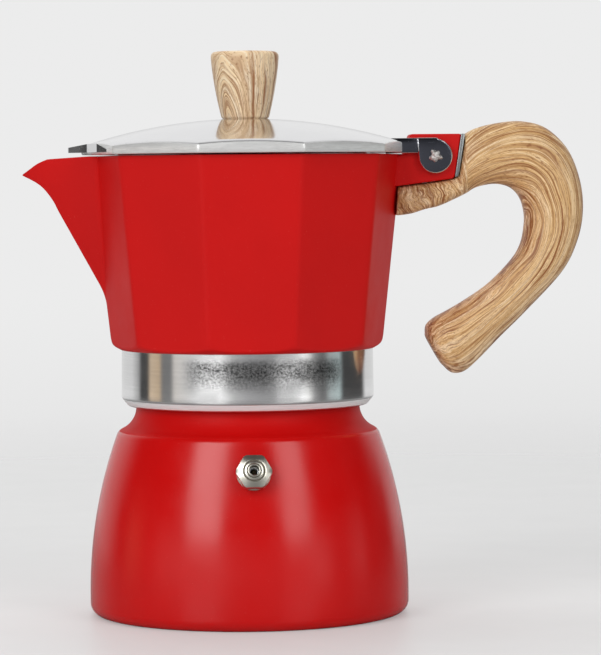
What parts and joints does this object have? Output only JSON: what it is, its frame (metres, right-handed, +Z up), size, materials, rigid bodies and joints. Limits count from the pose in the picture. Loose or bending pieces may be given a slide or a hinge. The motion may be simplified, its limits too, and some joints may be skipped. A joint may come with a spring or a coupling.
{
  "type": "moka pot",
  "caption": "Stovetop moka pot with a bell-shaped boiler, a faceted spouted jug, a domed hinged lid, a wood-look knob and an open hooked handle.",
  "frame": {"origin": "centre of the boiler's foot, on the pot's axis", "axes": "+Z up along the pot's axis, -X to the spout's tip, +X to the handle, -Y to the safety valve"},
  "size_m": [0.1605, 0.0901, 0.1608],
  "materials": {
    "boiler_paint": "satin heat-resistant paint, bare aluminium inside",
    "jug_paint": "matte heat-resistant paint, bare aluminium inside",
    "valve_metal": "nickel plated",
    "brass": "plain turned",
    "steel": "zinc plated",
    "bare_aluminium": "satin",
    "turned_aluminium": "fine turned",
    "polished_aluminium": "polished",
    "gasket_rubber": "matte silicone",
    "wood_print": "satin, printed with a light wood grain"
  },
  "bodies": {
    "boiler": {"boiler": "boiler_paint", "valve_body": "valve_metal", "valve_washer": "valve_metal", "valve_retainer": "valve_metal", "valve_spring": "steel"},
    "valve_piston": {"valve_poppet": "brass"},
    "funnel": {"funnel": "bare_aluminium", "funnel_stem": "bare_aluminium", "funnel_screen": "bare_aluminium"},
    "seal": {"gasket": "gasket_rubber"},
    "filter": {"filter_plate": "bare_aluminium"},
    "jug": {"jug": "jug_paint", "threaded_collar": "turned_aluminium", "riser_column": "bare_aluminium", "handle": "wood_print", "handle_spacer": "turned_aluminium", "handle_screw": "steel"},
    "lid": {"lid": "polished_aluminium", "lid_knob": "wood_print", "knob_insert": "brass", "knob_screw": "steel", "knob_washer": "steel", "hinge_pin": "steel"}
  },
  "joints": [
    {"name": "jug_lift", "type": "slide", "parent": "boiler", "child": "seal", "axis": [0, 0, 1], "range_m": [0, 0.1]},
    {"name": "jug_rise", "type": "slide", "parent": "seal", "child": "filter", "axis": [0, 0, 1], "range_m": [0, 0.006]},
    {"name": "jug_turn", "type": "hinge", "parent": "filter", "child": "jug", "pos_m": [0, 0, 0.0685], "axis": [0, 0, 1], "range_deg": [0, 720]},
    {"name": "lid_hinge", "type": "hinge", "parent": "jug", "child": "lid", "pos_m": [0.0538, 0, 0.1305], "axis": [0, 1, 0], "range_deg": [0, 100]},
    {"name": "funnel_lift", "type": "slide", "parent": "boiler", "child": "funnel", "axis": [0, 0, 1], "range_m": [0, 0.07]},
    {"name": "valve_lift", "type": "slide", "parent": "boiler", "child": "valve_piston", "axis": [0, -0.9585, 0.2852], "range_m": [0, 0.001], "stiffness_N_per_m": 1000, "springref_m": -0.002, "deforming": ["valve_spring"]}
  ],
  "couplings": [
    {"joint": "jug_rise", "follows": "jug_turn", "m_per_rad": 0.000477},
    {"joint": "funnel_lift", "follows": "jug_lift", "ratio": 0.7}
  ]
}
